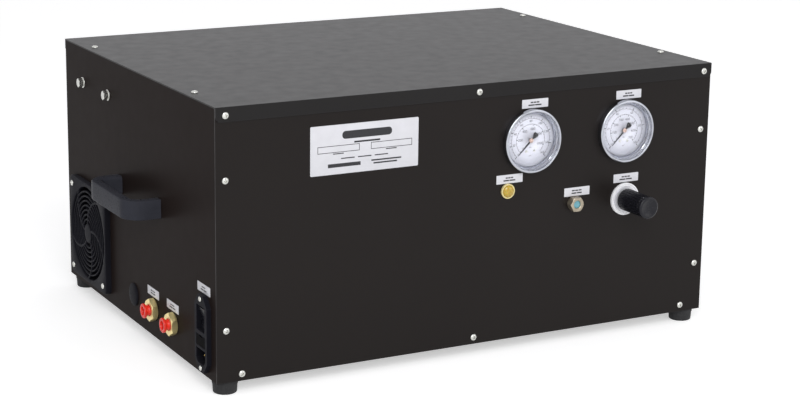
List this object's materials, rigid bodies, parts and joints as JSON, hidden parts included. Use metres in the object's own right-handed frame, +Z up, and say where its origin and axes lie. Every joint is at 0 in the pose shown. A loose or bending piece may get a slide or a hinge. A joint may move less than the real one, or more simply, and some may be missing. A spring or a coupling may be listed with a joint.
{
  "type": "refrigerated air dryer",
  "caption": "Bench-top compressed air dryer in a black sheet-metal cabinet with side handles, gauges, regulator, fan guard, air ports and power inlet.",
  "frame": {"origin": "on the floor under the middle of the bounding box", "axes": "+Z up, +X to the right seen from the gauges, -Y towards the user"},
  "size_m": [0.71, 0.5238, 0.3173],
  "materials": {
    "black_enamel": "semi-gloss black enamel with a fine grain",
    "inner_steel": "galvanised sheet",
    "black_rubber": "matt moulded rubber",
    "screw_steel": "bright zinc plate",
    "black_plastic": "moulded, satin gloss",
    "fan_plastic": "moulded, matt",
    "switch_plastic": "moulded, gloss",
    "brass": "machined",
    "plated_brass": "nickel-plated brass",
    "pin_gold": "plated contact",
    "red_plastic": "soft moulded",
    "white_print": "white film",
    "dial_white": "white enamel with printed scale",
    "bezel_chrome": "polished",
    "clear_glass": "clear",
    "pointer_black": "black with a copper-tone hub",
    "steel_case": "drawn steel",
    "lamp_rim": "pale rim",
    "amber_lens": "amber, translucent",
    "indicator_blue": "blue disc behind a window",
    "regulator_metal": "die-cast",
    "compressor_black": "black enamel",
    "copper": "drawn copper",
    "coil_metal": "fins on a copper tube",
    "foam_black": "closed-cell foam",
    "air_tube": "nylon tube",
    "separator_plastic": "polycarbonate bowl and metal head",
    "fuse_glass": "glass tube with plated caps"
  },
  "bodies": {
    "cabinet": {"air_tubes": "air_tube", "base_pan": "inner_steel", "bracket_bolts": "screw_steel", "bulkhead_fittings": "brass", "bulkhead_locknuts": "plated_brass", "casing_screws": "screw_steel", "compressor_grommets": "black_rubber", "compressor_shell": "compressor_black", "condenser_coil": "coil_metal", "control_box": "fan_plastic", "control_bracket": "inner_steel", "drain_valve": "separator_plastic", "exchanger_core": "coil_metal", "exchanger_jacket": "foam_black", "exchanger_stand": "inner_steel", "fan_frame": "fan_plastic", "fan_guard": "black_plastic", "fan_screws": "screw_steel", "filter_drier": "copper", "front_panel": "black_enamel", "gauge_bezels": "bezel_chrome", "gauge_cases": "steel_case", "gauge_dials": "dial_white", "gauge_lenses": "clear_glass", "gauge_movements": "brass", "handle_left": "black_plastic", "handle_right": "black_plastic", "hole_plug": "black_plastic", "inlet_housing": "fan_plastic", "inlet_pins": "pin_gold", "inlet_screws": "screw_steel", "inner_fasteners": "screw_steel", "lid": "black_enamel", "moisture_body": "plated_brass", "moisture_window": "indicator_blue", "name_plate": "white_print", "panel_labels": "white_print", "pilot_body": "lamp_rim", "pilot_lens": "amber_lens", "port_plugs": "red_plastic", "rear_panel": "black_enamel", "refrigerant_pipes": "copper", "regulator_body": "regulator_metal", "regulator_bonnet": "regulator_metal", "regulator_panel_nut": "regulator_metal", "regulator_spring": "steel_case", "rubber_feet": "black_rubber", "separator_bowl": "separator_plastic", "side_panel_left": "black_enamel", "side_panel_right": "black_enamel", "terminal_cover": "fan_plastic"},
    "fan_rotor": {"fan_rotor": "fan_plastic"},
    "gauge_pointer_1": {"gauge_pointer_1": "pointer_black"},
    "gauge_pointer_2": {"gauge_pointer_2": "pointer_black"},
    "rocker_switch": {"rocker_switch": "switch_plastic"},
    "fuse_drawer": {"fuse_drawer": "fan_plastic", "fuses": "fuse_glass"},
    "regulator_stem": {"regulator_stem": "steel_case"},
    "regulator_knob": {"regulator_knob": "black_plastic"}
  },
  "joints": [
    {"name": "fan_spin", "type": "hinge", "parent": "cabinet", "child": "fan_rotor", "pos_m": [-0.3035, 0.17205, 0.0874], "axis": [1, 0, 0], "continuous": true},
    {"name": "pointer_1_turn", "type": "hinge", "parent": "cabinet", "child": "gauge_pointer_1", "pos_m": [0.069, -0.21195, 0.2448], "axis": [0, 1, 0], "range_deg": [0, 270]},
    {"name": "pointer_2_turn", "type": "hinge", "parent": "cabinet", "child": "gauge_pointer_2", "pos_m": [0.1955, -0.21195, 0.2448], "axis": [0, 1, 0], "range_deg": [0, 270]},
    {"name": "switch_rock", "type": "hinge", "parent": "cabinet", "child": "rocker_switch", "pos_m": [-0.312, -0.18095, 0.0799], "axis": [0, 1, 0], "range_deg": [0, 16]},
    {"name": "drawer_slide", "type": "slide", "parent": "cabinet", "child": "fuse_drawer", "axis": [-1, 0, 0], "range_m": [0, 0.016]},
    {"name": "regulator_turn", "type": "hinge", "parent": "cabinet", "child": "regulator_stem", "pos_m": [0.1993, -0.21195, 0.1634], "axis": [0, 1, 0], "range_deg": [0, 1800]},
    {"name": "knob_pull", "type": "slide", "parent": "regulator_stem", "child": "regulator_knob", "axis": [0, -1, 0], "range_m": [0, 0.003]}
  ]
}
